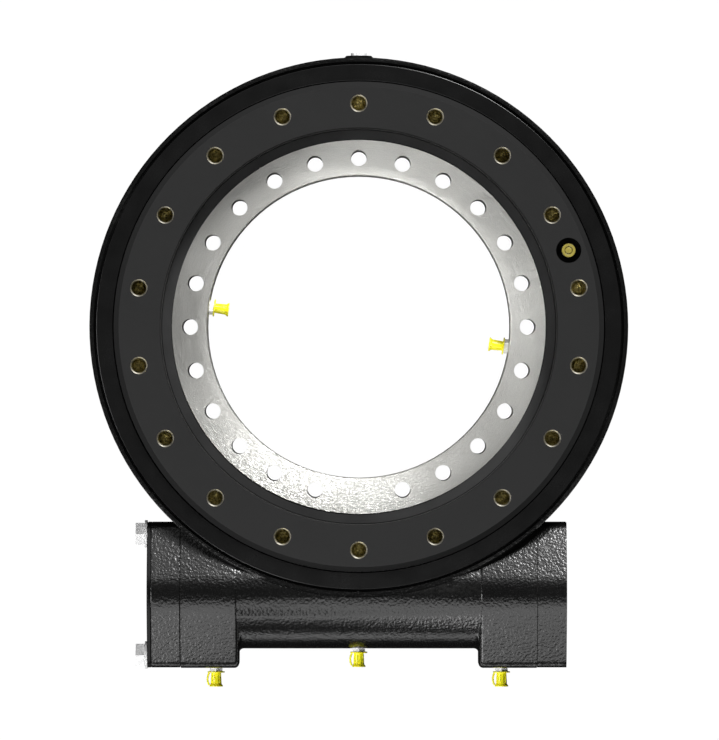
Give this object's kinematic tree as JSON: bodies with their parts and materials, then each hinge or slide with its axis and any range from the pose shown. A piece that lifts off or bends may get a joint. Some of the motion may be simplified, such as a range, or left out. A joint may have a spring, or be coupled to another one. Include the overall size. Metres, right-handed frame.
{
  "type": "hydraulic slewing drive",
  "caption": "Slewing drive: a toothed ring turned by a worm in a cast housing, with a bright fixed ring, ball race, seals and a covered hydraulic motor port.",
  "frame": {"origin": "on the slewing axis, at the fixed mounting face under the housing floor", "axes": "+Z is the slewing axis, towards the turning face; the worm lies along X on the -Y side, motor port towards -X"},
  "size_m": [0.471, 0.5568, 0.103],
  "materials": {
    "cast_black_paint": "black paint on a sand casting",
    "smooth_black_paint": "thin smooth black paint on sheet",
    "ring_paint": "satin dark grey paint on a machined face",
    "ground_steel": "ground bright",
    "worm_steel": "ground thread flanks",
    "bearing_steel": "polished bearing steel",
    "pressed_steel": "pressed sheet",
    "black_oxide_steel": "black oxide",
    "zinc_plate": "bright zinc plate",
    "black_rubber": "smooth moulded rubber",
    "gasket_paper": "dark gasket sheet",
    "yellow_plastic": "soft moulded plastic",
    "cage_plastic": "moulded polyamide"
  },
  "bodies": {
    "housing_assembly": {"housing": "cast_black_paint", "fixed_ring": "ground_steel", "filler_plug": "ground_steel", "filler_plug_pin": "ground_steel", "fixed_ring_screws": "black_oxide_steel", "outer_seal": "black_rubber", "inner_seal": "black_rubber", "motor_flange_gasket": "gasket_paper", "bearing_cap_gasket": "gasket_paper", "motor_flange": "cast_black_paint", "bearing_cap": "cast_black_paint", "motor_flange_screws": "black_oxide_steel", "bearing_cap_screws": "black_oxide_steel", "shaft_seal": "black_rubber", "port_cover_plate": "smooth_black_paint", "port_washers": "zinc_plate", "port_bolts": "zinc_plate", "motor_side_bearing_cup": "bearing_steel", "far_side_bearing_cup": "bearing_steel", "worm_nipples": "zinc_plate", "worm_nipple_caps": "yellow_plastic", "bore_nipples": "zinc_plate", "bore_nipple_caps": "yellow_plastic", "relief_plug": "zinc_plate"},
    "slewing_ring": {"toothed_ring": "ring_paint", "face_nipple": "zinc_plate", "face_nipple_cap": "yellow_plastic"},
    "ball_set": {"race_balls": "bearing_steel", "ball_cage": "cage_plastic"},
    "worm": {"worm_shaft": "worm_steel", "motor_side_bearing_cone": "bearing_steel", "far_side_bearing_cone": "bearing_steel"},
    "motor_side_roller_set": {"motor_side_rollers": "bearing_steel", "motor_side_roller_cage": "pressed_steel"},
    "far_side_roller_set": {"far_side_rollers": "bearing_steel", "far_side_roller_cage": "pressed_steel"}
  },
  "joints": [
    {"name": "slew", "type": "hinge", "parent": "housing_assembly", "child": "slewing_ring", "pos_m": [0, 0, 0.042], "axis": [0, 0, 1], "continuous": true},
    {"name": "ball_orbit", "type": "hinge", "parent": "housing_assembly", "child": "ball_set", "pos_m": [0, 0, 0.042], "axis": [0, 0, 1], "continuous": true},
    {"name": "worm_spin", "type": "hinge", "parent": "housing_assembly", "child": "worm", "pos_m": [0, -0.235, 0.05], "axis": [1, 0, 0], "continuous": true},
    {"name": "motor_side_roller_orbit", "type": "hinge", "parent": "housing_assembly", "child": "motor_side_roller_set", "pos_m": [0, -0.235, 0.05], "axis": [1, 0, 0], "continuous": true},
    {"name": "far_side_roller_orbit", "type": "hinge", "parent": "housing_assembly", "child": "far_side_roller_set", "pos_m": [0, -0.235, 0.05], "axis": [1, 0, 0], "continuous": true}
  ],
  "couplings": [
    {"joint": "ball_orbit", "follows": "slew", "ratio": 0.5},
    {"joint": "worm_spin", "follows": "slew", "ratio": -82},
    {"joint": "motor_side_roller_orbit", "follows": "slew", "ratio": -34.957},
    {"joint": "far_side_roller_orbit", "follows": "slew", "ratio": -34.957}
  ]
}
